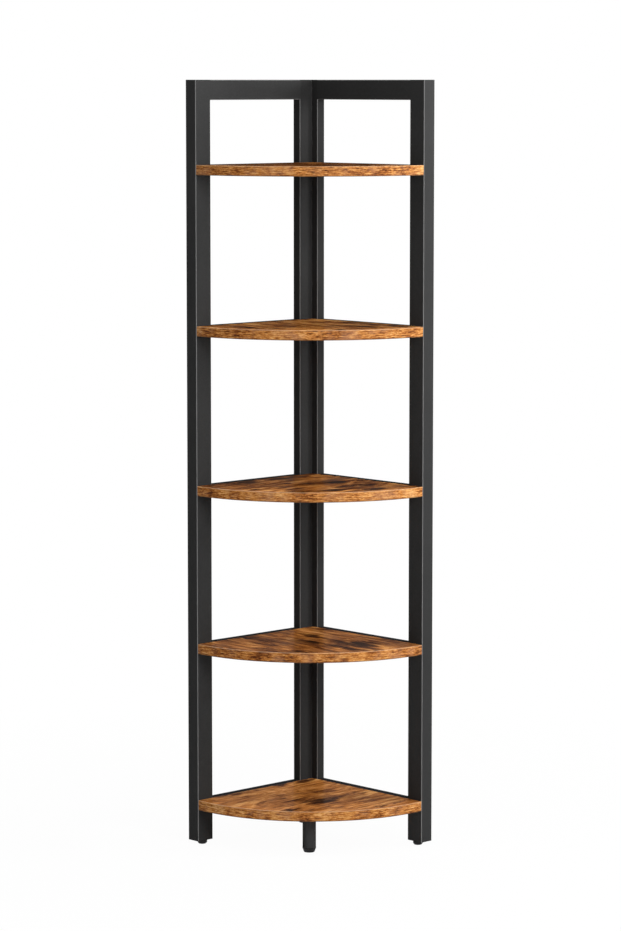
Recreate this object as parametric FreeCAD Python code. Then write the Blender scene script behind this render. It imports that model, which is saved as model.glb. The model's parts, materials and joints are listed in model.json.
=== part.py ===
import FreeCAD, Part
import math
import os

# Corner shelf unit, in millimetres.
# +Z is up and the floor is at height zero. One wall stands along -X and the other along +Y.
# The origin is on the floor, under the middle of the square footprint.
# Each frame has its own axes, seen from the inner corner where the boards' straight edges meet:
# "along" runs from that corner to the front end, "out" runs from the frame's inner face to the wall.
# The right frame is made in those axes, with along = +X and out = +Y, and the left one is its mirror image.

Vector = FreeCAD.Vector

# Overall sizes
footprint = 350.0
upright_length = 1536.0
foot_height = 8.0

# Frame tubes
front_tube_thick = 30.0
front_tube_wide = 40.0
back_tube_thick = 20.0
back_tube_wide = 35.0
top_rail_tall = 40.0
shelf_rail_tall = 20.0
tube_wall = 1.2
tube_corner = 2.0
tube_bore_corner_share = 0.4
top_plate_thick = 2.0
foot_plate_thick = 3.0
plate_gap = 0.1

# Shelf boards
shelf_count = 5
shelf_thick = 20.0
lowest_shelf_top = 93.0
top_shelf_drop = 168.0
tip_setback = 1.0
front_swell = 9.0
band_thick = 1.0
band_round = 0.5

# Bolts, threaded inserts and rivet nuts
bolt_dia = 6.0
bolt_head_dia = 13.0
bolt_head_tall = 3.0
bolt_socket_flats = 4.0
bolt_socket_deep = 2.0
bolt_hole_clearance = 0.3
bolt_end_relief = 2.0
bolt_from_corner = 80.0
bolt_from_front_upright = 40.0
insert_dia = 10.0
insert_length = 13.0
insert_hole_relief = 1.0
rivet_nut_dia = 9.0
rivet_nut_length = 12.0
rivet_nut_collar_dia = 12.0
rivet_nut_collar_long = 3.0
thread_gap = 0.05

# Levelling feet
stud_dia = 8.0
stud_head_dia = 12.0
stud_head_tall = 2.5
stud_reach = 30.0
stud_hole_clearance = 0.3
weld_nut_flats = 13.0
weld_nut_tall = 6.5
pad_dia = 19.5
pad_base_dia = 14.5
pad_taper_tall = 3.0
pad_floor = 2.0
pad_seat_gap = 0.2

# Support leg under the lowest board
leg_dia = 27.0
leg_wall = 1.5
leg_setback = 53.0
leg_foot_height = 10.0
leg_pad_dia = 27.8
leg_pad_base_dia = 21.5
leg_pad_lip_tall = 1.0
leg_top_plug_tall = 4.0
leg_foot_plug_tall = 8.0
leg_insert_dia = 12.0
leg_insert_length = 13.0

# Cuts run past the faces that they open by this much
overrun = 1.0

# Places worked out from the sizes
inner_corner = Vector(front_tube_thick - footprint / 2, footprint / 2 - front_tube_thick, 0)
corner_diagonal = Vector(1, 1, 0)
frame_reach = footprint - front_tube_thick
rail_thick = back_tube_thick
rail_front = frame_reach - front_tube_wide
back_start = {"left": 0, "right": -back_tube_thick}
tube_bore_corner = tube_corner * tube_bore_corner_share
unit_top = foot_height + upright_length
shelf_pitch = (unit_top - top_shelf_drop - lowest_shelf_top) / (shelf_count - 1)
shelf_tops = [lowest_shelf_top + step * shelf_pitch for step in range(shelf_count)]
bolt_places = [bolt_from_corner, rail_front - bolt_from_front_upright]
corner_bolt_heights = [top + shelf_pitch / 2 for top in shelf_tops[:-1]]
bolt_hole_radius = bolt_dia / 2 + bolt_hole_clearance

# The front edge is one arc through both tips and the middle of the front, centred on the diagonal
board_leg = frame_reach - tip_setback
front_reach = board_leg + front_swell
arc_shift = (board_leg ** 2 - front_reach ** 2) / (2 * (board_leg - math.sqrt(2) * front_reach))
front_radius = math.hypot(board_leg - arc_shift, arc_shift)

# The support leg stands on the diagonal, behind the middle of the front edge
leg_place = (front_reach - leg_setback) / math.sqrt(2)
lowest_board_bottom = lowest_shelf_top - shelf_thick

nodes = {}


def seat(shape, side):
    """Moves a shape from its frame's axes to the unit, mirrored for the left frame."""
    placed = shape.copy()
    placed.translate(inner_corner)
    if side == "left":
        placed = placed.mirror(inner_corner, corner_diagonal)
    return placed


def moved(shape, along, out, height):
    """A copy of a shape, moved in its frame's axes."""
    copy = shape.copy()
    copy.translate(Vector(along, out, height))
    return copy


def rod(radius, length, along, out, height, direction):
    """A round bar from a point, in a direction."""
    return Part.makeCylinder(radius, length, Vector(along, out, height), direction)


def rounded_bar(wide, deep, long, corner):
    """A standing bar with its four long edges rounded."""
    bar = Part.makeBox(wide, deep, long)
    standing = [edge for edge in bar.Edges if edge.Vertexes[0].Z != edge.Vertexes[1].Z]
    return bar.makeFillet(corner, standing)


def tube(wide, deep, long):
    """A standing rectangular tube with one corner on its axes."""
    outer = rounded_bar(wide, deep, long, tube_corner)
    bore = rounded_bar(wide - 2 * tube_wall, deep - 2 * tube_wall, long + 2 * overrun, tube_bore_corner)
    bore.translate(Vector(tube_wall, tube_wall, -overrun))
    return outer.cut(bore)


def rail(tall, start, top):
    """A tube that lies along its frame, from a back upright to the front upright."""
    bar = tube(tall, rail_thick, rail_front - start)
    bar.rotate(Vector(0, 0, 0), Vector(0, 1, 0), 90)
    return moved(bar, start, 0, top)


def closing_plate(wide, deep, thick):
    """A plate that fits inside a tube's end."""
    inset = tube_wall + plate_gap
    plate = rounded_bar(wide - 2 * inset, deep - 2 * inset, thick, tube_bore_corner)
    plate.translate(Vector(inset, inset, 0))
    return plate


def turned(profile):
    """A solid turned about the Z axis from points of radius and height."""
    points = [Vector(radius, 0, height) for radius, height in profile]
    face = Part.Face(Part.makePolygon(points + points[:1]))
    return face.revolve(Vector(0, 0, 0), Vector(0, 0, 1), 360)


def hexagon_bar(flats, tall):
    """A hexagonal bar about the Z axis, with two flats facing along Y."""
    corner = flats / math.sqrt(3)
    turns = [math.radians(60 * step) for step in range(7)]
    points = [Vector(corner * math.cos(turn), corner * math.sin(turn), 0) for turn in turns]
    return Part.Face(Part.makePolygon(points)).extrude(Vector(0, 0, tall))


def ring(outer_radius, bore_radius, length):
    """A round sleeve about the Z axis."""
    return Part.makeCylinder(outer_radius, length).cut(
        Part.makeCylinder(bore_radius, length + 2 * overrun, Vector(0, 0, -overrun)))


def bolt(grip, reach):
    """A socket head bolt that clamps grip and reaches on into its nut, with its head towards out."""
    shank = Part.makeCylinder(bolt_dia / 2, grip + reach, Vector(0, 0, -reach))
    head = Part.makeCylinder(bolt_head_dia / 2, bolt_head_tall, Vector(0, 0, grip))
    socket = hexagon_bar(bolt_socket_flats, bolt_socket_deep + overrun)
    socket.translate(Vector(0, 0, grip + bolt_head_tall - bolt_socket_deep))
    whole = shank.fuse(head).removeSplitter().cut(socket)
    whole.rotate(Vector(0, 0, 0), Vector(1, 0, 0), -90)
    return whole


# Uprights, with the holes that hold the two frames together

def front_upright():
    """The wide tube at the front end of a frame."""
    bar = tube(front_tube_wide, front_tube_thick, upright_length)
    return moved(bar, rail_front, 0, foot_height)


def back_upright(side):
    """The narrow tube at the corner: the right one is bolted through into the left one's rivet nuts."""
    bar = moved(tube(back_tube_wide, back_tube_thick, upright_length), back_start[side], 0, foot_height)
    middle = back_tube_thick / 2
    for height in corner_bolt_heights:
        if side == "right":
            through = back_tube_thick + 2 * overrun
            hole = rod(bolt_hole_radius, through, -middle, -overrun, height, Vector(0, 1, 0))
        else:
            nut_radius = rivet_nut_dia / 2 + thread_gap
            hole = rod(nut_radius, tube_wall + 2 * overrun, -overrun, middle, height, Vector(1, 0, 0))
        bar = bar.cut(hole)
    return bar


# Rails

def shelf_rail(side, board_top):
    """The square tube beside a board's straight edge, drilled for the board's bolts."""
    board_middle = board_top - shelf_thick / 2
    start = back_start[side] + back_tube_wide
    bar = rail(shelf_rail_tall, start, board_middle + shelf_rail_tall / 2)
    for place in bolt_places:
        through = rail_thick + 2 * overrun
        bar = bar.cut(rod(bolt_hole_radius, through, place, -overrun, board_middle, Vector(0, 1, 0)))
    return bar


for side in ("left", "right"):
    nodes[side + "_front_upright"] = seat(front_upright(), side)
    nodes[side + "_back_upright"] = seat(back_upright(side), side)
    nodes[side + "_top_rail"] = seat(rail(top_rail_tall, back_start[side] + back_tube_wide, unit_top), side)
    for number, board_top in enumerate(shelf_tops, 1):
        nodes[side + "_shelf_rail_" + str(number)] = seat(shelf_rail(side, board_top), side)


# Plates that close the uprights, and the levelling feet below them

def foot_stud(pad_top):
    """A stud whose round head turns inside its pad."""
    return turned([
        (0, pad_floor),
        (stud_head_dia / 2, pad_floor),
        (stud_head_dia / 2, pad_floor + stud_head_tall),
        (stud_dia / 2, pad_floor + stud_head_tall),
        (stud_dia / 2, pad_top + stud_reach),
        (0, pad_top + stud_reach),
    ])


def foot_pad(wide_dia, base_dia, taper_tall, pad_top):
    """A plastic pad, tapered towards the floor, that holds a stud's head."""
    pocket_top = pad_floor + stud_head_tall + thread_gap
    pocket_radius = stud_head_dia / 2 + thread_gap
    neck_radius = stud_dia / 2 + thread_gap
    return turned([
        (0, 0),
        (base_dia / 2, 0),
        (wide_dia / 2, taper_tall),
        (wide_dia / 2, pad_top),
        (neck_radius, pad_top),
        (neck_radius, pocket_top),
        (pocket_radius, pocket_top),
        (pocket_radius, pad_floor),
        (0, pad_floor),
    ])


weld_nut = hexagon_bar(weld_nut_flats, weld_nut_tall)
weld_nut = weld_nut.cut(Part.makeCylinder(stud_dia / 2 + thread_gap, weld_nut_tall))
weld_nuts = []
for side in ("left", "right"):
    uprights = {
        "front": (rail_front, front_tube_wide, front_tube_thick),
        "back": (back_start[side], back_tube_wide, back_tube_thick),
    }
    for end, (start, wide, thick) in uprights.items():
        name = side + "_" + end
        foot_along = start + wide / 2
        foot_out = rail_thick / 2
        top_plate = closing_plate(wide, thick, top_plate_thick)
        nodes[name + "_top_plate"] = seat(moved(top_plate, start, 0, unit_top - top_plate_thick), side)
        foot_plate = moved(closing_plate(wide, thick, foot_plate_thick), start, 0, foot_height)
        stud_hole = rod(stud_dia / 2 + stud_hole_clearance, foot_plate_thick, foot_along, foot_out,
                        foot_height, Vector(0, 0, 1))
        nodes[name + "_foot_plate"] = seat(foot_plate.cut(stud_hole), side)
        weld_nuts.append(seat(moved(weld_nut, foot_along, foot_out, foot_height + foot_plate_thick), side))
        pad_top = foot_height - pad_seat_gap
        pad = foot_pad(pad_dia, pad_base_dia, pad_taper_tall, pad_top)
        nodes[name + "_foot_pad"] = seat(moved(pad, foot_along, foot_out, 0), side)
        nodes[name + "_foot_stud"] = seat(moved(foot_stud(pad_top), foot_along, foot_out, 0), side)
nodes["foot_weld_nuts"] = Part.makeCompound(weld_nuts)


# Boards and their edge bands

def quarter_round(radius, bottom):
    """A quarter-round slab with its square corner in the inner corner and its arc on the front arc's centre."""
    leg = arc_shift + math.sqrt(radius ** 2 - arc_shift ** 2)
    middle = arc_shift + radius / math.sqrt(2)
    corner = Vector(0, 0, bottom)
    right_tip = Vector(leg, 0, bottom)
    left_tip = Vector(0, -leg, bottom)
    front = Part.Arc(right_tip, Vector(middle, -middle, bottom), left_tip).toShape()
    sides = [Part.LineSegment(corner, right_tip).toShape(), Part.LineSegment(left_tip, corner).toShape()]
    outline = Part.Wire([sides[0], front, sides[1]])
    return Part.Face(outline).extrude(Vector(0, 0, shelf_thick))


def edge_band(bottom):
    """The strip along a board's front arc, with its two long outer edges eased."""
    band = quarter_round(front_radius, bottom).cut(quarter_round(front_radius - band_thick, bottom))
    outer = [edge for edge in band.Edges
             if isinstance(edge.Curve, Part.Circle) and edge.Curve.Radius > front_radius - band_thick / 2]
    return band.makeFillet(band_round, outer)


insert = ring(insert_dia / 2, bolt_dia / 2 + thread_gap, insert_length)
insert.rotate(Vector(0, 0, 0), Vector(1, 0, 0), 90)
insert_hole = rod(insert_dia / 2 + thread_gap, insert_length + insert_hole_relief, 0, 0, 0, Vector(0, -1, 0))
shelf_bolt = bolt(rail_thick, insert_length - bolt_end_relief)
leg_insert_hole = rod(leg_insert_dia / 2 + thread_gap, leg_insert_length + insert_hole_relief,
                      leg_place, -leg_place, lowest_board_bottom, Vector(0, 0, 1))
shelf_bolts = []
shelf_inserts = []
for number, board_top in enumerate(shelf_tops, 1):
    board_bottom = board_top - shelf_thick
    board_middle = board_top - shelf_thick / 2
    board = seat(quarter_round(front_radius - band_thick, board_bottom), "right")
    for side in ("left", "right"):
        for place in bolt_places:
            board = board.cut(seat(moved(insert_hole, place, 0, board_middle), side))
            shelf_inserts.append(seat(moved(insert, place, 0, board_middle), side))
            shelf_bolts.append(seat(moved(shelf_bolt, place, 0, board_middle), side))
    if number == 1:
        board = board.cut(seat(leg_insert_hole, "right"))
    nodes["shelf_board_" + str(number)] = board
    nodes["shelf_edge_band_" + str(number)] = seat(edge_band(board_bottom), "right")
nodes["shelf_bolts"] = Part.makeCompound(shelf_bolts)
nodes["shelf_bolt_inserts"] = Part.makeCompound(shelf_inserts)


# Bolts and rivet nuts that hold the frames together at the corner

def rivet_nut():
    """A threaded sleeve set in a tube wall, with the collar that its setting pulls up behind the wall."""
    sleeve = ring(rivet_nut_dia / 2, bolt_dia / 2 + thread_gap, rivet_nut_length)
    collar = ring(rivet_nut_collar_dia / 2, rivet_nut_dia / 2, rivet_nut_collar_long)
    collar.translate(Vector(0, 0, tube_wall))
    nut = sleeve.fuse(collar).removeSplitter()
    nut.rotate(Vector(0, 0, 0), Vector(0, 1, 0), 90)
    return nut


corner_bolt = bolt(back_tube_thick, rivet_nut_length - bolt_end_relief)
corner_bolts = [seat(moved(corner_bolt, -back_tube_thick / 2, 0, height), "right")
                for height in corner_bolt_heights]
rivet_nuts = [seat(moved(rivet_nut(), 0, back_tube_thick / 2, height), "left")
              for height in corner_bolt_heights]
nodes["corner_bolts"] = Part.makeCompound(corner_bolts)
nodes["corner_rivet_nuts"] = Part.makeCompound(rivet_nuts)

# Support leg, screwed into the lowest board, with its own levelling foot
leg_length = lowest_board_bottom - leg_foot_height
leg_bore_radius = leg_dia / 2 - leg_wall
plug_radius = leg_bore_radius - plate_gap
leg_stud_reach = leg_insert_length - bolt_end_relief
leg_pad_top = leg_foot_height - pad_seat_gap
leg_pieces = {
    "tube": moved(ring(leg_dia / 2, leg_bore_radius, leg_length), 0, 0, leg_foot_height),
    "top_plug": moved(ring(plug_radius, stud_dia / 2 + thread_gap, leg_top_plug_tall), 0, 0,
                      lowest_board_bottom - leg_top_plug_tall),
    "stud": moved(Part.makeCylinder(stud_dia / 2, leg_top_plug_tall + leg_stud_reach), 0, 0,
                  lowest_board_bottom - leg_top_plug_tall),
    "insert": moved(ring(leg_insert_dia / 2, stud_dia / 2 + thread_gap, leg_insert_length), 0, 0,
                    lowest_board_bottom),
    "foot_plug": moved(ring(plug_radius, stud_dia / 2 + thread_gap, leg_foot_plug_tall), 0, 0,
                       leg_foot_height),
    "foot_pad": foot_pad(leg_pad_dia, leg_pad_base_dia, leg_pad_top - leg_pad_lip_tall, leg_pad_top),
    "foot_stud": foot_stud(leg_pad_top),
}
for name, piece in leg_pieces.items():
    nodes["support_leg_" + name] = seat(moved(piece, leg_place, -leg_place, 0), "right")

os.makedirs("parts", exist_ok=True)
for name, shape in nodes.items():
    shape.exportStep("parts/" + name + ".step")
print(len(nodes), "nodes,", sum(len(shape.Solids) for shape in nodes.values()), "solids")
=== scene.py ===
# %% [markdown]
# # A corner shelf unit in Blender
#
# The unit is two welded frames of black steel tube that meet in a corner, with quarter-round
# wood-look boards bolted between them. It stands on screw-in feet and on one round leg.
# Its construction is already modelled, to size, and comes in as the frame. This lesson gives it
# its finishes, adds the small shapes that catch light, and photographs it in a white studio.
#
# Everything is in metres. +Z is up, one wall of the room stands along -X and the other along +Y,
# so the open front of the unit faces +X and -Y.

# %% Load the frame
import json
import math

import bmesh
import bpy
from mathutils import Matrix, Vector


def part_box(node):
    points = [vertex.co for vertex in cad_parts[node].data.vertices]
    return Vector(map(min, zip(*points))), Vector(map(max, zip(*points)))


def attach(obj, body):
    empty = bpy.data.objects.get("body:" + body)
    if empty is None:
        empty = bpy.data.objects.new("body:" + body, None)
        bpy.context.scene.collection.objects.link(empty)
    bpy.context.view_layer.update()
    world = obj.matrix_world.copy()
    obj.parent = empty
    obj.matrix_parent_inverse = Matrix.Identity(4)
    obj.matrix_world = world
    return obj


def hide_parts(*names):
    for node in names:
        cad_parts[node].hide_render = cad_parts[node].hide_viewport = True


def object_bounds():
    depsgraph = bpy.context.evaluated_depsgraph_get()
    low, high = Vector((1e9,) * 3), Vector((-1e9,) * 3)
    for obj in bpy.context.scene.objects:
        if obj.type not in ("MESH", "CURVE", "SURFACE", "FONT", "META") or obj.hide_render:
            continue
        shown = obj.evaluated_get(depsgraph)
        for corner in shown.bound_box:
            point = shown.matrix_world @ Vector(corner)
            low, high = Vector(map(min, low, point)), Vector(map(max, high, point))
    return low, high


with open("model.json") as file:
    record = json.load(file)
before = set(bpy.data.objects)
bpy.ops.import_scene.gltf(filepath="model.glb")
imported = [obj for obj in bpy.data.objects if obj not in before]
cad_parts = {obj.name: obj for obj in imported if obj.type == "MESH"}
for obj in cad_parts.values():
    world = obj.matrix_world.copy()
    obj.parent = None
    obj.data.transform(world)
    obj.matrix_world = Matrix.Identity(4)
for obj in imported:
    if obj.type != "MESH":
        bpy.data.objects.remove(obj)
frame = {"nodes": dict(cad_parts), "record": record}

scene = bpy.context.scene
cad_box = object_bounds()
print("frame:", len(frame["nodes"]), "nodes, from", cad_box[0][:], "to", cad_box[1][:])

# %% [markdown]
# ## The unit's main lines
#
# A few places are used again and again: the inner corner where the boards' straight edges meet,
# the heights of the boards, and the arc along their fronts. They could be typed in, but reading
# them from the frame keeps the finishes in step with the model.
#
# The front edge is one arc centred on the corner's diagonal. Two facts fix it: how far it reaches
# along a wall, which a band's box gives, and how far it reaches along the diagonal.

# %% Measure the main lines
MM = 0.001
shelf_numbers = range(1, 6)
diagonal_reach = 328 * MM

board_boxes = [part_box("shelf_board_%d" % number) for number in shelf_numbers]
board_tops = [high.z for low, high in board_boxes]
board_bottoms = [low.z for low, high in board_boxes]
board_pitch = board_tops[1] - board_tops[0]
inner_corner = Vector((board_boxes[0][0].x, board_boxes[0][1].y, 0))

wall_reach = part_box("shelf_edge_band_1")[1].x - inner_corner.x
arc_shift = (diagonal_reach - wall_reach) / (math.sqrt(2) - 1)
arc_radius = wall_reach - arc_shift
arc_centre = inner_corner + Vector((arc_shift, -arc_shift, 0))
print("inner corner", inner_corner[:], "board pitch", round(board_pitch, 5))
print("arc radius", round(arc_radius, 4), "about", arc_centre[:])

# %% [markdown]
# ## The camera
#
# A product photograph of something tall is taken from far away with a long lens, so that its
# uprights stay nearly parallel. The camera stands almost seven metres off, at the height of the
# unit's top, and looks down a little at its middle, so each lower shelf shows more of its top.
# Blender counts the lens and the sensor in millimetres. The picture is taller than wide, so the
# sensor is measured along its height.

# %% Place the camera
camera_place = Vector((4.841, -4.623, 1.5436))
camera_aim = Vector((-0.0436, 0.0429, 0.7674))
camera_lens = 129.75
sensor_long_side = 36
sight_end = 100

camera = bpy.data.objects.new("camera", bpy.data.cameras.new("camera"))
camera.location = camera_place
camera.rotation_euler = (camera_aim - camera_place).to_track_quat("-Z", "Y").to_euler()
camera.data.lens = camera_lens
camera.data.sensor_width = sensor_long_side
camera.data.clip_end = sight_end
scene.collection.objects.link(camera)
scene.camera = camera
print("camera", round((camera_aim - camera_place).length, 2), "m from the unit")

# %% [markdown]
# ## Colour and nodes
#
# Colours are easiest to pick as hex values, the way a paint program shows them. Blender's shaders
# work in linear light, so one function converts them. A second function adds a shader node, sets
# its options and links its inputs, which keeps every material below to one call for each node.
# A Mix node has sockets of the same names for numbers, vectors and colours, so the ones for colours
# are chosen by number.

# %% Colour and node helpers
MIX_FACTOR = 0
MIX_A = 6
MIX_B = 7
MIX_RESULT = 2


def linear(hex_colour):
    """Linear red, green, blue and alpha of an sRGB hex colour."""
    parts = [int(hex_colour[i:i + 2], 16) / 255 for i in (1, 3, 5)]
    return [p / 12.92 if p <= 0.04045 else ((p + 0.055) / 1.055) ** 2.4 for p in parts] + [1]


def add_node(tree, kind, inputs, output=0, **settings):
    """Adds one node, fills or links its inputs, and returns one of its outputs."""
    made = tree.nodes.new(kind)
    for name, value in settings.items():
        setattr(made, name, value)
    for socket, value in inputs.items():
        if isinstance(value, bpy.types.NodeSocket):
            tree.links.new(value, made.inputs[socket])
        else:
            made.inputs[socket].default_value = value
    return made.outputs[output]


def start_material(name):
    """A new material, with its node tree, its shader node and its Object coordinates."""
    material = bpy.data.materials.new(name)
    material.use_nodes = True
    tree = material.node_tree
    shader = tree.nodes["Principled BSDF"]
    place = add_node(tree, "ShaderNodeTexCoord", {}, "Object")
    return material, tree, shader, place


print("the middle grey #808080 is", round(linear("#808080")[0], 3), "in linear light")

# %% [markdown]
# ## The white studio
#
# The background of a catalogue picture is pure white. The light must not make it white, because
# then it would also bleach the unit. Instead the world and the floor show white only to rays from
# the camera, and to reflections and refractions, and light the unit as a plain grey room would.
# The Standard view transform keeps that white, which Blender's own choice would turn grey.
#
# Close to the unit the floor is mostly white glow and a little real floor, so it keeps a faint shadow
# at the feet. Further off the glow takes over, and the floor meets the world without a horizon.

# %% Build the white world
room_grey = "#686868"
studio_white = "#ffffff"


def background_rays(tree):
    """One for rays that should meet the white background, and zero for rays that carry light."""
    rays = add_node(tree, "ShaderNodeLightPath", {}).node.outputs
    seen = add_node(tree, "ShaderNodeMath",
                    {0: rays["Is Camera Ray"], 1: rays["Is Glossy Ray"]}, operation="MAXIMUM")
    return add_node(tree, "ShaderNodeMath",
                    {0: seen, 1: rays["Is Transmission Ray"]}, operation="MAXIMUM")


world = bpy.data.worlds.new("white_studio")
scene.world = world
world.use_nodes = True
tree = world.node_tree
tree.nodes.clear()
room = add_node(tree, "ShaderNodeBackground", {"Color": linear(room_grey), "Strength": 1.0})
white = add_node(tree, "ShaderNodeBackground", {"Color": linear(studio_white), "Strength": 1.0})
mixed = add_node(tree, "ShaderNodeMixShader", {0: background_rays(tree), 1: room, 2: white})
world_output = tree.nodes.new("ShaderNodeOutputWorld")
tree.links.new(mixed, world_output.inputs["Surface"])
scene.view_settings.view_transform = "Standard"
print("world lights the unit with", room_grey)

# %% Lay the floor
floor_half = 30.0
floor_grey = "#dcdcdc"
shadow_reach = 0.45
glow_reach = 1.6
near_glow = 0.97

floor_mesh = bpy.data.meshes.new("studio_floor")
shape = bmesh.new()
bmesh.ops.create_grid(shape, x_segments=1, y_segments=1, size=floor_half)
shape.to_mesh(floor_mesh)
shape.free()
floor = bpy.data.objects.new("studio_floor", floor_mesh)
scene.collection.objects.link(floor)

floor_paint, tree, shader, place = start_material("white_floor_paint")
shader.inputs["Base Color"].default_value = linear(floor_grey)
shader.inputs["Roughness"].default_value = 0.9
shader.inputs["Specular IOR Level"].default_value = 0.0
glow = add_node(tree, "ShaderNodeEmission", {"Color": linear(studio_white), "Strength": 1.0})
distance = add_node(tree, "ShaderNodeVectorMath", {0: place}, "Value", operation="LENGTH")
share = add_node(tree, "ShaderNodeMapRange",
                 {"Value": distance, "From Min": shadow_reach, "From Max": glow_reach, "To Min": near_glow})
share = add_node(tree, "ShaderNodeMath", {0: background_rays(tree), 1: share}, operation="MULTIPLY")
mixed = add_node(tree, "ShaderNodeMixShader", {0: share, 1: shader.outputs["BSDF"], 2: glow})
tree.links.new(mixed, tree.nodes["Material Output"].inputs["Surface"])
floor_mesh.materials.append(floor_paint)
print("floor", 2 * floor_half, "m wide")

# %% [markdown]
# ## The lights
#
# Black tube shows its shape only through the difference between its faces. In the picture the faces
# towards the right are paler than those towards the left, so two softboxes stand to the right, near
# the unit and a little above its top, and those faces fade towards the floor.
# A very weak one at the front keeps the left faces from going black. One more hangs overhead and
# gives the boards their light, so high up that the top board isn't much brighter than the bottom
# one. The last stands behind the unit and lifts the faces that meet the walls.

# %% Hang the softboxes
unit_middle = (cad_box[0] + cad_box[1]) / 2
# Place, width and height in metres, and power in watts
softboxes = {
    "right_softbox": ((2.5, -0.6, 1.8), 1.2, 1.6, 62),
    "front_softbox": ((-0.4, -1.8, 2.5), 0.8, 0.8, 4),
    "sheen_softbox": ((1.9, 1.8, 1.9), 0.9, 1.4, 58),
    "overhead_softbox": ((0.8, -0.8, 9.0), 4.0, 4.0, 260),
    "back_softbox": ((-4.5, 4.0, 3.0), 2.5, 2.5, 90),
}

for name, (place, width, height, watts) in softboxes.items():
    lamp = bpy.data.lights.new(name, "AREA")
    lamp.shape = "RECTANGLE"
    lamp.size = width
    lamp.size_y = height
    lamp.energy = watts
    softbox = bpy.data.objects.new(name, lamp)
    softbox.location = place
    softbox.rotation_euler = (unit_middle - Vector(place)).to_track_quat("-Z", "Y").to_euler()
    softbox.visible_camera = False
    scene.collection.objects.link(softbox)
print("lights:", list(softboxes))

# %% [markdown]
# ## Powder-coated steel
#
# The frame is cold-rolled steel tube, sprayed with black polyester powder and baked. That gives a
# dark grey rather than a true black, a dull sheen, and a faint orange-peel texture. The rounded
# corners of a tube are painted a little paler, as a painted highlight, and those lines draw the frame.
# The real orange peel is about half a millimetre wide. It is drawn coarser here, to show at all.
#
# The corners could be picked out by hand, but the surface normal already knows them: on a flat face
# one of its three parts is nearly one, and on a rounded corner none of them is. A round tube has no
# corners, so its material leaves that part out.
#
# One coat would do for the whole frame, but its tubes don't look alike. The front ones have a faint
# sheen on the faces towards the light, and the ones in the corner have none and a slightly darker
# grey, which is painted shade. The shelf rails stay near black even where light from above meets
# them, so their coat is darker, also as painted shade. A rail's top is seen at so flat an angle that
# any sheen would turn it white. The round leg's coat is the palest, which is painted light.

# %% Powder-coat material
orange_peel_size = 2.4 * MM
orange_peel_depth = 0.05 * MM
dust_size = 140 * MM
dust_share = 0.25
dust_grey = "#3e3e3e"
corner_highlight_grey = "#8e8e8e"
flat_normal = 0.97
corner_normal = 0.80


def corner_amount(tree, strength):
    """How far a point lies on a tube's rounded corner, from zero on its flat faces up to strength."""
    normal = add_node(tree, "ShaderNodeTexCoord", {}, "Normal")
    size = add_node(tree, "ShaderNodeVectorMath", {0: normal}, operation="ABSOLUTE")
    parts = add_node(tree, "ShaderNodeSeparateXYZ", {0: size}).node.outputs
    widest = add_node(tree, "ShaderNodeMath", {0: parts["X"], 1: parts["Y"]}, operation="MAXIMUM")
    widest = add_node(tree, "ShaderNodeMath", {0: widest, 1: parts["Z"]}, operation="MAXIMUM")
    return add_node(tree, "ShaderNodeMapRange",
                    {"Value": widest, "From Min": flat_normal, "From Max": corner_normal,
                     "To Max": strength})


def powder_coated_steel(name, dark, pale, corner_highlight_strength, sheen):
    """Matt black powder coat with an orange-peel grain, and a painted highlight on a tube's rounded
    corners.
    """
    material, tree, shader, place = start_material(name)
    grain = add_node(tree, "ShaderNodeTexNoise",
                     {"Vector": place, "Scale": 1 / orange_peel_size, "Detail": 3.0})
    cloud = add_node(tree, "ShaderNodeTexNoise", {"Vector": place, "Scale": 1 / dust_size, "Detail": 2.0})
    coat = add_node(tree, "ShaderNodeMix", {MIX_FACTOR: grain, MIX_A: linear(dark), MIX_B: linear(pale)},
                    MIX_RESULT, data_type="RGBA")
    dusty = add_node(tree, "ShaderNodeMapRange",
                     {"Value": cloud, "From Min": 0.35, "From Max": 0.75, "To Max": dust_share})
    coat = add_node(tree, "ShaderNodeMix", {MIX_FACTOR: dusty, MIX_A: coat, MIX_B: linear(dust_grey)},
                    MIX_RESULT, data_type="RGBA")
    # The rounded corners are painted paler, as a painted highlight
    if corner_highlight_strength:
        corner = corner_amount(tree, corner_highlight_strength)
        coat = add_node(tree, "ShaderNodeMix",
                        {MIX_FACTOR: corner, MIX_A: coat, MIX_B: linear(corner_highlight_grey)},
                        MIX_RESULT, data_type="RGBA")
    rough = add_node(tree, "ShaderNodeMapRange", {"Value": grain, "To Min": 0.52, "To Max": 0.66})
    bump = add_node(tree, "ShaderNodeBump",
                    {"Height": grain, "Strength": 0.2, "Distance": orange_peel_depth}, "Normal")
    tree.links.new(coat, shader.inputs["Base Color"])
    tree.links.new(rough, shader.inputs["Roughness"])
    tree.links.new(bump, shader.inputs["Normal"])
    shader.inputs["Specular IOR Level"].default_value = 0.0
    shader.inputs["Coat Weight"].default_value = sheen
    shader.inputs["Coat Roughness"].default_value = 0.4
    return material


# Dark and pale grey, how strong the painted highlight on the corners is, and the weight of the sheen
coat_looks = {
    "front_tube": ("#282828", "#363636", 0.75, 0.09),
    # The back tubes' and the rails' darker greys are painted shade, and the leg's paler greys painted light
    "back_tube_painted_shade": ("#262626", "#343434", 0.70, 0.0),
    "rail": ("#1e1e1e", "#2a2a2a", 0.40, 0.0),
    "leg": ("#343434", "#464646", 0.0, 0.02),
}
coats = {part: powder_coated_steel("black_powder_coated_" + part, *looks)
         for part, looks in coat_looks.items()}
finishes = {"powder_coated_steel": coats["front_tube"]}
print("made", [coat.name for coat in coats.values()])

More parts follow.
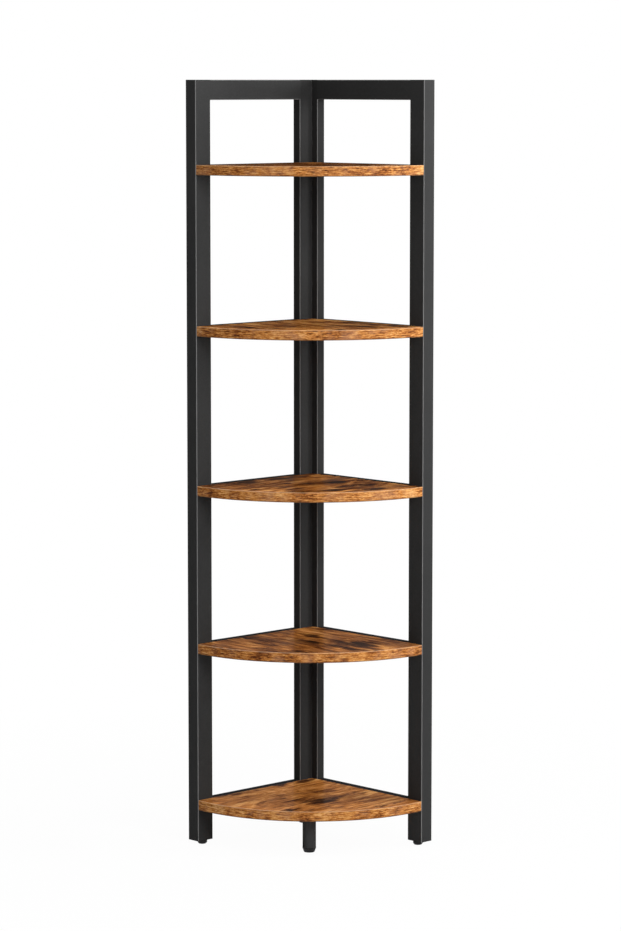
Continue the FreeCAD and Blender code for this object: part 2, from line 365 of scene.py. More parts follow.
# %% [markdown]
# ## Rustic wood-look laminate
#
# The boards are particle board under a printed and varnished paper. The print shows old sawn oak:
# orange-brown wood with darker bands along the grain, greyer weathered patches, near-black smudges,
# and fine fibre lines. The varnish is a thin clear coat over it, in which the uprights mirror faintly.
#
# One noise texture stretched along the grain would look like a cheap stripe. Real grain has several
# sizes at once, so the print is a sum of layers, each with a width across the grain and a length
# along it in millimetres. A colour ramp then turns the sum into wood: low values are dark, high
# ones pale. The finest real fibres are a tenth of a millimetre wide and are drawn coarser.

# %% Layers of print
grain_roughness = 0.68
# Width across the grain and length along it in millimetres, then detail, distortion and seed
print_layers = {
    "patch": (70, 150, 3.0, 0.8, 0.0),
    "band": (28, 130, 5.0, 1.4, 3.1),
    "streak": (8, 120, 5.0, 0.8, 7.7),
    "fibre": (1.4, 30, 3.0, 0.2, 20.9),
    "saw": (60, 2.5, 2.0, 0.2, 31.7),
    "char": (34, 140, 5.0, 1.6, 13.3),
    "grey": (60, 120, 4.0, 1.0, 43.9),
}
# How much each layer counts in the sum
print_weights = {"patch": 0.8, "band": 1.25, "streak": 1.1, "fibre": 0.7, "saw": 0.3}


def grain_noise(tree, place, across, along, detail, distortion, seed):
    """Noise drawn out along Y: its features measure across by along, in millimetres."""
    stretch = (1 / (across * MM), 1 / (along * MM), 1 / (across * MM))
    stretched = add_node(tree, "ShaderNodeMapping",
                         {"Vector": place, "Location": (seed, seed, seed), "Scale": stretch})
    return add_node(tree, "ShaderNodeTexNoise",
                    {"Vector": stretched, "Scale": 1.0, "Detail": detail, "Roughness": grain_roughness,
                     "Distortion": distortion})


def add_up(tree, middle, layers):
    """The weighted sum of some layers, which is middle where every layer has its own middle value."""
    total = middle - sum(weight / 2 for layer, weight in layers)
    for layer, weight in layers:
        total = add_node(tree, "ShaderNodeMath", {0: layer, 1: weight, 2: total}, operation="MULTIPLY_ADD")
    return total


def set_tones(ramp, stops):
    """Gives a colour ramp its stops, each a position and a hex colour."""
    ramp.elements.remove(ramp.elements[1])
    ramp.elements[0].position = stops[0][0]
    ramp.elements[0].color = linear(stops[0][1])
    for position, colour in stops[1:]:
        ramp.elements.new(position).color = linear(colour)


print("layers of print:", list(print_layers))

# %% [markdown]
# ## Smudges
#
# The charred smudges are what the eye remembers of such a board, so they aren't left to chance.
# Each is listed for its board: where its middle is, how wide it is along X and along Y, in
# millimetres, and how strong it is. A spherical gradient, scaled to that size, is one soft spot.
# A spot alone would look like a blot. So it only makes the wood more ready to char, and a streaky
# noise decides where it does. The spot also draws the grain apart, as the wood round a knot does.
#
# The boards are cut from one big sheet in either direction, so on every second board the grain runs
# along X instead of along Y. Each board also has its own tone, and the top board's, far the darkest,
# is painted shade for the dark reflection on its top. The higher a board, the flatter the angle at
# which it is seen: fine streaks blend together there and even a thin varnish turns white. So each
# board has a contrast and a varnish weight too.

# %% Smudges of each board
# Middle along X and Y, width along X and Y, and strength, for each board from the lowest up
smudges = {
    1: [(24, 0, 70, 130, 1.0), (28, 125, 50, 80, 0.6), (-125, 108, 60, 90, 0.8),
        (-135, 50, 60, 70, 0.6), (58, -95, 60, 80, 0.8), (-38, -42, 50, 80, 0.5),
        (146, 80, 40, 130, 0.7), (-140, -85, 40, 110, 0.6)],
    2: [(95, 55, 230, 110, 0.8), (-12, 8, 120, 40, 0.9), (-55, 62, 120, 50, 0.8),
        (-138, 45, 90, 70, 0.6), (80, 12, 140, 40, 0.8), (-130, -50, 80, 60, 0.6),
        (58, -86, 70, 40, 0.6), (-30, -118, 80, 40, 0.5)],
    3: [(-125, -65, 80, 130, 1.0), (-128, 25, 70, 110, 0.9), (5, 78, 60, 100, 0.8),
        (75, 85, 50, 110, 0.8), (98, -18, 60, 110, 0.9), (60, 25, 50, 90, 0.7),
        (-60, -20, 50, 100, 0.7), (0, 135, 70, 60, 0.7), (-25, -135, 60, 60, 0.7),
        (135, 60, 50, 110, 0.8), (20, -60, 40, 90, 0.6)],
    4: [(-52, -115, 160, 40, 0.9), (-8, -102, 130, 36, 0.9), (5, 128, 210, 46, 0.8),
        (132, 125, 150, 40, 0.8), (95, 62, 220, 40, 0.8), (130, -25, 140, 36, 0.8),
        (-120, 40, 170, 50, 0.6)],
    5: [(-20, 20, 60, 150, 0.8), (90, 60, 50, 120, 0.8), (-110, 60, 60, 140, 0.8),
        (60, -60, 50, 110, 0.7), (-100, -90, 50, 120, 0.7)],
}
# The top board's far lower tone is painted shade, for the dark reflection on its top
board_tones_and_shade = {1: 0.55, 2: 0.42, 3: 0.45, 4: 0.50, 5: 0.26}
board_contrasts = {1: 1.0, 2: 1.0, 3: 1.3, 4: 1.4, 5: 1.3}
board_varnishes = {1: 0.05, 2: 0.035, 3: 0.018, 4: 0.010, 5: 0.005}
wobble_size = 45 * MM
wobble_reach = 30 * MM
knot_spread = 0.45


def smudge_field(tree, place, number):
    """The strength of a board's smudges, and the place with the grain drawn apart round each of them."""
    noise = add_node(tree, "ShaderNodeTexNoise",
                     {"Vector": place, "Scale": 1 / wobble_size, "Detail": 3.0}, "Color")
    swing = add_node(tree, "ShaderNodeVectorMath", {0: noise, 1: (0.5, 0.5, 0.5)}, operation="SUBTRACT")
    wobbled = add_node(tree, "ShaderNodeVectorMath",
                       {0: swing, 1: (wobble_reach, wobble_reach, 0), 2: place}, operation="MULTIPLY_ADD")
    field = 0.0
    spread = place
    for x, y, wide, deep, strength in smudges[number]:
        middle = Vector((x * MM, y * MM, board_tops[number - 1]))
        half = Vector((wide / 2 * MM, deep / 2 * MM, board_pitch / 2))
        spot = add_node(tree, "ShaderNodeMapping", {"Vector": wobbled, "Location": middle, "Scale": half},
                        vector_type="TEXTURE")
        soft = add_node(tree, "ShaderNodeTexGradient", {"Vector": spot}, "Fac", gradient_type="SPHERICAL")
        soft = add_node(tree, "ShaderNodeMath", {0: soft, 1: strength}, operation="MULTIPLY")
        field = add_node(tree, "ShaderNodeMath", {0: soft, 1: field}, operation="MAXIMUM")
        push = add_node(tree, "ShaderNodeVectorMath", {0: spot, "Scale": soft}, operation="SCALE")
        spread = add_node(tree, "ShaderNodeVectorMath",
                          {0: push, 1: (-knot_spread * half.x, -knot_spread * half.y, 0), 2: spread},
                          operation="MULTIPLY_ADD")
    return field, spread


print("smudges on the boards:", [len(smudges[number]) for number in sorted(smudges)])

# %% Laminate material
wood_tones = [(0.06, "#2a1609"), (0.22, "#48260f"), (0.36, "#74421d"),
              (0.50, "#9c602d"), (0.64, "#be7a3a"), (0.82, "#dba25f")]
char_readiness = 0.44
char_start = 0.60
char_full = 0.82
char_darkening = 0.34
soot_share = 0.62
soot_brown = "#2c1d13"
weathered_share = 0.40
weathered_brown = "#6e5442"
fibre_depth = 0.05 * MM


def rustic_laminate(number):
    """Printed old-oak laminate with a thin varnish, for one board."""
    grain_turn = 0 if number % 2 else math.pi / 2
    material, tree, shader, place = start_material("rustic_oak_laminate_%d" % number)
    field, spread = smudge_field(tree, place, number)
    turned = add_node(tree, "ShaderNodeMapping", {"Vector": spread, "Rotation": (0, 0, grain_turn)})
    layers = {name: grain_noise(tree, turned, *sizes) for name, sizes in print_layers.items()}
    contrast = board_contrasts[number]
    weighted = [(layers[name], weight * contrast) for name, weight in print_weights.items()]
    tone = add_up(tree, board_tones_and_shade[number], weighted)
    ready = add_node(tree, "ShaderNodeMath", {0: field, 1: char_readiness, 2: layers["char"]},
                     operation="MULTIPLY_ADD")
    charred = add_node(tree, "ShaderNodeMapRange",
                       {"Value": ready, "From Min": char_start, "From Max": char_full},
                       interpolation_type="SMOOTHSTEP")
    tone = add_node(tree, "ShaderNodeMath", {0: charred, 1: -char_darkening, 2: tone},
                    operation="MULTIPLY_ADD")
    colour = add_node(tree, "ShaderNodeValToRGB", {"Fac": tone}, "Color")
    set_tones(colour.node.color_ramp, wood_tones)
    weathered = add_node(tree, "ShaderNodeMapRange",
                         {"Value": layers["grey"], "From Min": 0.46, "From Max": 0.70,
                          "To Max": weathered_share})
    colour = add_node(tree, "ShaderNodeMix",
                      {MIX_FACTOR: weathered, MIX_A: colour, MIX_B: linear(weathered_brown)},
                      MIX_RESULT, data_type="RGBA")
    soot = add_node(tree, "ShaderNodeMath", {0: charred, 1: soot_share}, operation="MULTIPLY")
    colour = add_node(tree, "ShaderNodeMix", {MIX_FACTOR: soot, MIX_A: colour, MIX_B: linear(soot_brown)},
                      MIX_RESULT, data_type="RGBA")
    rough = add_node(tree, "ShaderNodeMapRange", {"Value": layers["fibre"], "To Min": 0.50, "To Max": 0.65})
    bump = add_node(tree, "ShaderNodeBump",
                    {"Height": layers["fibre"], "Strength": 0.15, "Distance": fibre_depth}, "Normal")
    tree.links.new(colour, shader.inputs["Base Color"])
    tree.links.new(rough, shader.inputs["Roughness"])
    tree.links.new(bump, shader.inputs["Normal"])
    shader.inputs["Specular IOR Level"].default_value = 0.0
    shader.inputs["Coat Weight"].default_value = board_varnishes[number]
    shader.inputs["Coat Roughness"].default_value = 0.12
    return material


board_finishes = {"shelf_board_%d" % number: rustic_laminate(number) for number in smudges}
print("made", [material.name for material in board_finishes.values()])

# %% [markdown]
# ## Edge band
#
# The curved front of each board is closed with a strip of the same print, but cut across: short
# flecks along the strip instead of long bands, and a few faded patches. Along its upper trimmed edge
# a thin pale line is a painted highlight, and along the lower edge a dark line is a painted shadow.
# The flecks and these lines are half a millimetre on the real strip, and are drawn coarser here,
# because they would not show otherwise.
#
# The flecks have to follow the arc. The material works out its own coordinates: the angle about the
# arc's centre, times its radius, is the distance along the strip, and Z is the height on it.

# %% Coordinates along the strip
strip_roughness = 0.6
strip_distortion = 0.1


def strip_noise(tree, strip, along, tall, detail, seed):
    """Noise on the strip: its features measure along by tall, in millimetres."""
    stretch = (1 / (along * MM), 1 / (tall * MM), 1.0)
    stretched = add_node(tree, "ShaderNodeMapping",
                         {"Vector": strip, "Location": (seed, seed, seed), "Scale": stretch})
    return add_node(tree, "ShaderNodeTexNoise",
                    {"Vector": stretched, "Scale": 1.0, "Detail": detail, "Roughness": strip_roughness,
                     "Distortion": strip_distortion})


def strip_coordinates(tree, place):
    """A vector of the distance along a band's arc and the height, and the height by itself."""
    from_centre = add_node(tree, "ShaderNodeVectorMath", {0: place, 1: arc_centre}, operation="SUBTRACT")
    parts = add_node(tree, "ShaderNodeSeparateXYZ", {0: from_centre}).node.outputs
    angle = add_node(tree, "ShaderNodeMath", {0: parts["Y"], 1: parts["X"]}, operation="ARCTAN2")
    along = add_node(tree, "ShaderNodeMath", {0: angle, 1: arc_radius}, operation="MULTIPLY")
    strip = add_node(tree, "ShaderNodeCombineXYZ", {0: along, 1: parts["Z"], 2: 0.0})
    return strip, parts["Z"]


def trim_line(tree, height, edge, inner, strength):
    """Up to strength at one edge of a band, fading to zero at an inner height, both from its lower edge."""
    height = add_node(tree, "ShaderNodeMath", {0: height, 1: board_bottoms[0]}, operation="SUBTRACT")
    height = add_node(tree, "ShaderNodeMath", {0: height, 1: board_pitch}, operation="FLOORED_MODULO")
    return add_node(tree, "ShaderNodeMapRange",
                    {"Value": height, "From Min": inner, "From Max": edge, "To Max": strength})


print("a band is", round(arc_radius * math.pi / 2, 3), "m long, or a little more")

# %% Edge band material
band_tones = [(0.15, "#3f1e0b"), (0.35, "#784119"), (0.50, "#a96a32"),
              (0.65, "#c08343"), (0.85, "#d9a76a")]
# Length along the strip and height on it in millimetres, then detail and seed
strip_layers = {
    "patch": (60, 60, 2.0, 4.7),
    "wave": (26, 2.1, 4.0, 5.9),
    "fleck": (13, 2.0, 2.0, 9.1),
    "pore": (4.0, 1.8, 1.0, 17.3),
    "fade": (34, 26, 2.0, 23.5),
}
strip_weights = {"patch": 0.8, "wave": 1.3, "fleck": 1.1, "pore": 0.5}
strip_tone = 0.50
faded_share = 0.35
faded_brown = "#a57c60"
trim_solid = 0.6 * MM
highlight_wide = 1.8 * MM
highlight_share = 0.45
highlight_pale = "#d8b088"
shadow_line_wide = 2.8 * MM
shadow_line_share = 0.75
shadow_line_brown = "#4a3222"


def oak_edge_band():
    """Printed edge strip with short flecks along the arc, a painted highlight above and a painted shadow
    below.
    """
    material, tree, shader, place = start_material("rustic_oak_edge_band")
    strip, height = strip_coordinates(tree, place)
    layers = {name: strip_noise(tree, strip, *sizes) for name, sizes in strip_layers.items()}
    tone = add_up(tree, strip_tone, [(layers[name], weight) for name, weight in strip_weights.items()])
    colour = add_node(tree, "ShaderNodeValToRGB", {"Fac": tone}, "Color")
    set_tones(colour.node.color_ramp, band_tones)
    faded = add_node(tree, "ShaderNodeMapRange",
                     {"Value": layers["fade"], "From Min": 0.48, "From Max": 0.70, "To Max": faded_share})
    colour = add_node(tree, "ShaderNodeMix", {MIX_FACTOR: faded, MIX_A: colour, MIX_B: linear(faded_brown)},
                      MIX_RESULT, data_type="RGBA")
    band_tall = board_tops[0] - board_bottoms[0]
    # A pale line along the upper edge: a painted highlight
    edge_highlight = trim_line(tree, height, band_tall - trim_solid, band_tall - highlight_wide, highlight_share)
    colour = add_node(tree, "ShaderNodeMix", {MIX_FACTOR: edge_highlight, MIX_A: colour, MIX_B: linear(highlight_pale)},
                      MIX_RESULT, data_type="RGBA")
    # A dark line along the lower edge: a painted shadow
    edge_shadow = trim_line(tree, height, trim_solid, shadow_line_wide, shadow_line_share)
    colour = add_node(tree, "ShaderNodeMix", {MIX_FACTOR: edge_shadow, MIX_A: colour, MIX_B: linear(shadow_line_brown)},
                      MIX_RESULT, data_type="RGBA")
    rough = add_node(tree, "ShaderNodeMapRange", {"Value": layers["fleck"], "To Min": 0.42, "To Max": 0.58})
    tree.links.new(colour, shader.inputs["Base Color"])
    tree.links.new(rough, shader.inputs["Roughness"])
    shader.inputs["Specular IOR Level"].default_value = 0.08
    return material


finishes["wood_look_edge"] = oak_edge_band()
print("made", finishes["wood_look_edge"].name)

# %% [markdown]
# ## Plastic feet, zinc and blackened steel
#
# The small parts have three finishes. The foot pads are injection-moulded black polyethylene with a
# fine spark-eroded texture, drawn coarser here than the real one, to show at all. The studs and nuts
# are steel with bright zinc plating, a little blotchy where the passivation pooled. The bolts are
# blackened steel, which is darker. An even grey would pass for either metal from afar, but close up
# it looks like plastic, so one noise lets both the colour and the gloss drift.

# %% Materials of the small parts
plastic_dark = "#121212"
plastic_pale = "#1e1e1e"
texture_size = 1.2 * MM
texture_depth = 0.05 * MM
blotch_size = 3.5 * MM


def moulded_black_plastic():
    """Black polyethylene with a fine moulded texture."""
    material, tree, shader, place = start_material("moulded_black_plastic")
    texture = add_node(tree, "ShaderNodeTexNoise",
                       {"Vector": place, "Scale": 1 / texture_size, "Detail": 2.0})
    colour = add_node(tree, "ShaderNodeMix",
                      {MIX_FACTOR: texture, MIX_A: linear(plastic_dark), MIX_B: linear(plastic_pale)},
                      MIX_RESULT, data_type="RGBA")
    rough = add_node(tree, "ShaderNodeMapRange", {"Value": texture, "To Min": 0.42, "To Max": 0.60})
    bump = add_node(tree, "ShaderNodeBump",
                    {"Height": texture, "Strength": 0.3, "Distance": texture_depth}, "Normal")
    tree.links.new(colour, shader.inputs["Base Color"])
    tree.links.new(rough, shader.inputs["Roughness"])
    tree.links.new(bump, shader.inputs["Normal"])
    shader.inputs["Specular IOR Level"].default_value = 0.2
    return material


def plated_steel(name, dark, pale, smooth, dull):
    """Plated steel: a metal whose colour and gloss drift a little over its surface."""
    material, tree, shader, place = start_material(name)
    blotch = add_node(tree, "ShaderNodeTexNoise",
                      {"Vector": place, "Scale": 1 / blotch_size, "Detail": 3.0})
    colour = add_node(tree, "ShaderNodeMix", {MIX_FACTOR: blotch, MIX_A: linear(dark), MIX_B: linear(pale)},
                      MIX_RESULT, data_type="RGBA")
    rough = add_node(tree, "ShaderNodeMapRange", {"Value": blotch, "To Min": smooth, "To Max": dull})
    tree.links.new(colour, shader.inputs["Base Color"])
    tree.links.new(rough, shader.inputs["Roughness"])
    shader.inputs["Metallic"].default_value = 1.0
    return material


finishes["black_plastic"] = moulded_black_plastic()
finishes["zinc_plated_steel"] = plated_steel("bright_zinc_plating", "#a7abb0", "#cfd0cc", 0.24, 0.42)
finishes["black_bolt_steel"] = plated_steel("blackened_bolt_steel", "#262626", "#383736", 0.30, 0.46)
print("finishes:", sorted(finishes))

# %% [markdown]
# ## Dress the frame's own nodes
#
# Tubes, boards and bands already have their real shapes, so they stay as they are and only get
# their finish. The record names a material slot for every node, and most slots have one finish
# above. The exceptions are listed by node: each board has its own print, and the back uprights, the
# shelf rails and the round leg have their own coats.

# %% Give each node its finish
slot_of = {part["node"]: part["material_slot"] for part in frame["record"]["subparts"]}
special_finishes = dict(board_finishes, support_leg_tube=coats["leg"])
for side in ("left", "right"):
    special_finishes[side + "_back_upright"] = coats["back_tube_painted_shade"]
    for number in shelf_numbers:
        special_finishes["%s_shelf_rail_%d" % (side, number)] = coats["rail"]
for name, thing in frame["nodes"].items():
    thing.data.materials[0] = special_finishes.get(name) or finishes[slot_of[name]]
print("dressed", len(slot_of), "nodes")

# %% [markdown]
# ## Making a new piece
#
# The remaining shapes are modelled here with bmesh. They all end the same way: doubled vertices are
# merged, the faces are turned outwards, the round parts are shaded smooth up to a crease angle,
# and the piece is told which body it rides on and which finish it wears.

# %% Helper for new pieces
merge_distance = 0.002 * MM
crease_angle = math.radians(35)


def finish_piece(shape, name, body, slot):
    """Turns a bmesh into an object that wears a slot's finish and rides on a body."""
    bmesh.ops.remove_doubles(shape, verts=shape.verts, dist=merge_distance)
    bmesh.ops.recalc_face_normals(shape, faces=shape.faces)
    mesh = bpy.data.meshes.new(name)
    shape.to_mesh(mesh)
    shape.free()
    mesh.shade_smooth()
    mesh.set_sharp_from_angle(angle=crease_angle)
    mesh.materials.append(finishes[slot])
    piece = bpy.data.objects.new(name, mesh)
    scene.collection.objects.link(piece)
    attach(piece, body)
    print(name, "has", len(mesh.polygons), "faces")
    return piece


def turn_profile(shape, outline, centre, steps):
    """Spins an open outline of (radius, height) points about a vertical axis into a closed solid."""
    points = [shape.verts.new(centre + Vector((radius, 0, height))) for radius, height in outline]
    edges = [shape.edges.new(pair) for pair in zip(points, points[1:])]
    bmesh.ops.spin(shape, geom=points + edges, cent=centre, axis=(0, 0, 1), angle=2 * math.pi, steps=steps,
                   use_merge=True)
    bmesh.ops.remove_doubles(shape, verts=shape.verts, dist=merge_distance)


def ring_edges(shape, centre, radius, height):
    """The edges of one ring of a turned solid."""
    def on_ring(vertex):
        offset = vertex.co - centre
        return (abs(offset.xy.length - radius) < merge_distance and abs(offset.z - height) < merge_distance)
    return [edge for edge in shape.edges if on_ring(edge.verts[0]) and on_ring(edge.verts[1])]


print("pieces are creased above", round(math.degrees(crease_angle)), "degrees")

# %% [markdown]
# ## Ground welds
#
# The rails are welded to the uprights and ground flush before they are coated, so no joint shows in
# the picture. In the model the rounded corner of an upright leaves a small groove at the end of
# each rail. A wedge with one hollow side fills it: two straight edges and a quarter arc, which a
# spin of one vertex draws, pulled up to the height of the rail.

# %% Fill the grooves at the rails' ends
tube_corner = 2 * MM
weld_end_gap = 0.6 * MM
weld_arc_steps = 6


def weld_fill(shape, corner, along, out, low, high):
    """A wedge at the end of a rail: along points into the upright, and out from its face inwards."""
    centre = corner + (along + out) * tube_corner
    turn = math.copysign(math.pi / 2, out.cross(along).z)
    tip = shape.verts.new(corner)
    start = shape.verts.new(corner + along * tube_corner)
    spun = bmesh.ops.spin(shape, geom=[start], cent=centre, axis=(0, 0, 1), angle=turn,
                          steps=weld_arc_steps)
    end = next(item for item in spun["geom_last"] if isinstance(item, bmesh.types.BMVert))
    arc = [edge for edge in shape.edges if edge.is_wire]
    sides = [shape.edges.new((tip, start)), shape.edges.new((tip, end))]
    flat = bmesh.ops.contextual_create(shape, geom=arc + sides)["faces"]
    bmesh.ops.translate(shape, verts=flat[0].verts[:], vec=(0, 0, low - corner.z))
    pulled = bmesh.ops.extrude_face_region(shape, geom=flat, use_keep_orig=True)["geom"]
    raised = [item for item in pulled if isinstance(item, bmesh.types.BMVert)]
    bmesh.ops.translate(shape, verts=raised, vec=(0, 0, high - low))


# Along a side's rails from the corner to the front, and out towards its wall
side_axes = {
    "right": (Vector((1, 0, 0)), Vector((0, 1, 0))),
    "left": (Vector((0, -1, 0)), Vector((-1, 0, 0))),
}
for side, (along, out) in side_axes.items():
    shape = bmesh.new()
    rails = ["%s_shelf_rail_%d" % (side, number) for number in shelf_numbers] + [side + "_top_rail"]
    for rail in rails:
        low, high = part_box(rail)
        start, end = sorted((low.dot(along), high.dot(along)))
        inner, outer = sorted((low.dot(out), high.dot(out)))
        bottom = low.z + weld_end_gap
        top = high.z - weld_end_gap
        weld_fill(shape, along * end + out * inner, along, out, bottom, top)
        weld_fill(shape, along * start + out * inner, -along, out, bottom, top)
        weld_fill(shape, along * start + out * outer, -along, -out, bottom, top)
    finish_piece(shape, side + "_ground_welds", "shelf_unit", "powder_coated_steel")

# %% [markdown]
# ## Foot pads
#
# Each foot is a moulded plastic pad with a soft rim, tapered towards the floor, and the head of its
# stud is trapped in a pocket inside. A lathe shape suits it: half of the section is drawn as an
# outline from the pocket's floor round to the underside, and spun about the stud's axis.
# The rims that show are then rounded by bevelling their rings of edges.

# %% Turn the foot pads
foot_names = ["left_front", "left_back", "right_front", "right_back", "support_leg"]
pad_steps = 48
pad_rounding = 0.8 * MM
pad_rounding_steps = 4
pocket_gap = 0.1 * MM
stud_radius = 4 * MM
stud_head_tall = 2.5 * MM
# Radius at the floor, and height of the taper
upright_pad_shape = (7.25 * MM, 3.0 * MM)
leg_pad_shape = (10.75 * MM, 8.8 * MM)


def foot_pad(name, base_radius, taper_tall):
    """A moulded pad in place of a foot's pad node."""
    low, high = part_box(name + "_foot_pad")
    head_low, head_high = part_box(name + "_foot_stud")
    centre = Vector(((low.x + high.x) / 2, (low.y + high.y) / 2, 0))
    wide = (high.x - low.x) / 2
    pocket = (head_high.x - head_low.x) / 2 + pocket_gap
    pocket_top = head_low.z + stud_head_tall + pocket_gap
    neck = stud_radius + pocket_gap
    outline = [(0, head_low.z), (pocket, head_low.z), (pocket, pocket_top), (neck, pocket_top),
               (neck, high.z), (wide, high.z), (wide, taper_tall), (base_radius, 0), (0, 0)]
    shape = bmesh.new()
    turn_profile(shape, outline, centre, pad_steps)
    rims = [edge for radius, height in ((wide, high.z), (wide, taper_tall), (base_radius, 0))
            for edge in ring_edges(shape, centre, radius, height)]
    bmesh.ops.bevel(shape, geom=rims, offset=pad_rounding, offset_type="OFFSET",
                    segments=pad_rounding_steps, profile=0.5, affect="EDGES", material=-1)
    pad = finish_piece(shape, name + "_moulded_pad", name + "_foot", "black_plastic")
    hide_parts(name + "_foot_pad")


for name in foot_names:
    foot_pad(name, *(leg_pad_shape if name == "support_leg" else upright_pad_shape))

# %% [markdown]
# ## Threaded studs
#
# A foot is set by turning its stud, and when it is screwed out the thread comes into view. A thread
# is one tooth carried along a helix. Spin does that when each of its steps also moves the outline
# up a little: after a full turn it has climbed exactly one pitch and meets its own beginning.
# The ragged ends are trimmed with two planes and closed, and the round head is turned below.
# The tooth is a metric one, flat over an eighth of the pitch at its crest and a quarter at its root.

# %% Cut the threads
thread_pitch = 1.25 * MM
thread_steps = 24
thread_depth_share = 0.6134
thread_overrun = 1.5 * thread_pitch
spare_turns = 2
head_overlap = 0.1 * MM
cut_tolerance = merge_distance / 10


def trim_and_close(shape, height, keep_above):
    """Cuts everything off above or below a height, and closes the cut with one face."""
    everything = shape.verts[:] + shape.edges[:] + shape.faces[:]
    cut = bmesh.ops.bisect_plane(shape, geom=everything, dist=cut_tolerance, plane_co=(0, 0, height),
                                 plane_no=(0, 0, 1), clear_inner=keep_above, clear_outer=not keep_above)
    rim = [item for item in cut["geom_cut"] if isinstance(item, bmesh.types.BMEdge)]
    bmesh.ops.contextual_create(shape, geom=rim)


def threaded_stud(name):
    """A stud with a real thread in place of a foot's stud node."""
    low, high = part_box(name + "_foot_stud")
    centre = Vector(((low.x + high.x) / 2, (low.y + high.y) / 2, 0))
    head_radius = (high.x - low.x) / 2
    head_top = low.z + stud_head_tall
    root = stud_radius - thread_depth_share * thread_pitch
    tooth = [(root, 0), (root, 1 / 8), (stud_radius, 7 / 16), (stud_radius, 9 / 16), (root, 7 / 8),
             (root, 1)]
    turns = math.ceil((high.z - head_top) / thread_pitch) + spare_turns
    first = centre + Vector((0, 0, head_top - thread_overrun))
    climb = (0, 0, thread_pitch / thread_steps)
    shape = bmesh.new()
    points = [shape.verts.new(first + Vector((radius, 0, share * thread_pitch))) for radius, share in tooth]
    edges = [shape.edges.new(pair) for pair in zip(points, points[1:])]
    bmesh.ops.spin(shape, geom=points + edges, cent=centre, axis=(0, 0, 1), dvec=climb,
                   angle=2 * math.pi * turns, steps=thread_steps * turns)
    bmesh.ops.remove_doubles(shape, verts=shape.verts, dist=merge_distance)
    trim_and_close(shape, head_top - head_overlap, True)
    trim_and_close(shape, high.z, False)
    head = [(0, low.z), (head_radius, low.z), (head_radius, head_top), (0, head_top)]
    turn_profile(shape, head, centre, pad_steps)
    stud = finish_piece(shape, name + "_threaded_stud", name + "_screw", "zinc_plated_steel")
    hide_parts(name + "_foot_stud")


for name in foot_names:
    threaded_stud(name)

# %% [markdown]
# ## Button-head bolts
#
# From behind, the heads of the bolts show on the rails and on the corner: low domes with a hexagon
# socket. The dome and the shank are one lathe outline that stops short of the middle. The socket is a
# hexagon whose sides are divided until it has as many vertices as the dome's inner ring, so that
# the two can be bridged. Its wall is extruded down and its floor closed.
#
# One bolt of each length is modelled, with its head upwards and its seat at zero, and copies of it are
# turned and moved to their places.

# %% Model one bolt
bolt_steps = 24
bolt_radius = 3 * MM
bolt_head_radius = 6.5 * MM
bolt_head_tall = 3 * MM
bolt_rim_tall = 0.8 * MM
bolt_socket_sides = 6
bolt_socket_flats = 4 * MM
bolt_socket_deep = 2 * MM
bolt_flat_radius = 2.9 * MM
dome_steps = 6


def dome_outline():
    """The dome from its flat middle to its rim: a quarter ellipse of (radius, height) points."""
    wide = bolt_head_radius - bolt_flat_radius
    tall = bolt_head_tall - bolt_rim_tall
    angles = [step / dome_steps * math.pi / 2 for step in range(dome_steps + 1)]
    return [(bolt_flat_radius + wide * math.sin(angle), bolt_rim_tall + tall * math.cos(angle))
            for angle in angles]


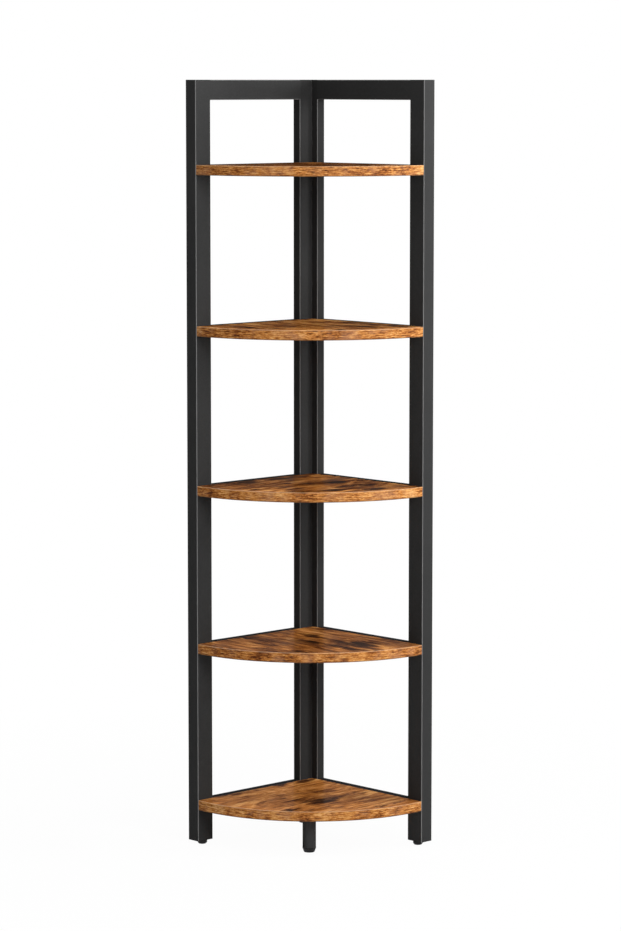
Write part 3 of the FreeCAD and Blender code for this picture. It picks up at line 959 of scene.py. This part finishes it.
def button_head_bolt(name, length):
    """The mesh of one bolt, head upwards, with the seat under its head at zero."""
    shape = bmesh.new()
    seat = Vector((0, 0, 0))
    chamfer = bolt_radius / 4
    shank = [(bolt_head_radius, 0), (bolt_radius, 0), (bolt_radius, chamfer - length),
             (bolt_radius - chamfer, -length), (0, -length)]
    turn_profile(shape, dome_outline() + shank, seat, bolt_steps)
    mouth = ring_edges(shape, seat, bolt_flat_radius, bolt_head_tall)
    socket = bmesh.ops.create_circle(shape, segments=bolt_socket_sides,
                                     radius=bolt_socket_flats / math.sqrt(3),
                                     matrix=Matrix.Translation((0, 0, bolt_head_tall)))["verts"]
    sides = [edge for edge in shape.edges if edge.verts[0] in socket and edge.verts[1] in socket]
    bmesh.ops.subdivide_edges(shape, edges=sides, cuts=bolt_steps // bolt_socket_sides - 1)
    sides = [edge for edge in shape.edges if edge.is_wire]
    bmesh.ops.bridge_loops(shape, edges=mouth + sides)
    walls = bmesh.ops.extrude_edge_only(shape, edges=sides)["geom"]
    lower = [item for item in walls if isinstance(item, bmesh.types.BMVert)]
    bmesh.ops.translate(shape, verts=lower, vec=(0, 0, -bolt_socket_deep))
    floor_rim = [item for item in walls if isinstance(item, bmesh.types.BMEdge)]
    bmesh.ops.contextual_create(shape, geom=[edge for edge in floor_rim if edge.is_boundary])
    mesh = bpy.data.meshes.new(name)
    shape.to_mesh(mesh)
    shape.free()
    return mesh


insert_reach = 11 * MM
rail_low, rail_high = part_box("right_shelf_rail_1")
rail_thick = rail_high.y - rail_low.y
shelf_bolt = button_head_bolt("shelf_bolt", rail_thick + insert_reach)
corner_low, corner_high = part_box("corner_bolts")
corner_seat = corner_high.y - bolt_head_tall
corner_bolt = button_head_bolt("corner_bolt", corner_seat - corner_low.y)
print("one bolt has", len(shelf_bolt.polygons), "faces")

# %% Copy the bolts to their places
# How far along a rail from the inner corner
shelf_bolt_places = [80 * MM, 240 * MM]
head_turns = {
    "right": Matrix.Rotation(-math.pi / 2, 4, "X"),
    "left": Matrix.Rotation(-math.pi / 2, 4, "Y"),
}


def add_bolt(shape, bolt_mesh, side, place):
    """Copies a bolt into a bmesh with its seat at a place and its head towards a side's wall."""
    before = len(shape.verts)
    shape.from_mesh(bolt_mesh)
    shape.verts.ensure_lookup_table()
    move = Matrix.Translation(place) @ head_turns[side]
    bmesh.ops.transform(shape, matrix=move, verts=shape.verts[before:])


shape = bmesh.new()
for side, (along, out) in side_axes.items():
    for top, bottom in zip(board_tops, board_bottoms):
        for distance_along in shelf_bolt_places:
            place = inner_corner + along * distance_along + out * rail_thick
            place.z = (top + bottom) / 2
            add_bolt(shape, shelf_bolt, side, place)
shelf_bolts = finish_piece(shape, "shelf_button_bolts", "shelf_unit", "black_bolt_steel")
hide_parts("shelf_bolts")

shape = bmesh.new()
for top in board_tops[:-1]:
    place = Vector(((corner_low.x + corner_high.x) / 2, corner_seat, top + board_pitch / 2))
    add_bolt(shape, corner_bolt, "right", place)
corner_bolts = finish_piece(shape, "corner_button_bolts", "shelf_unit", "black_bolt_steel")
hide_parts("corner_bolts")
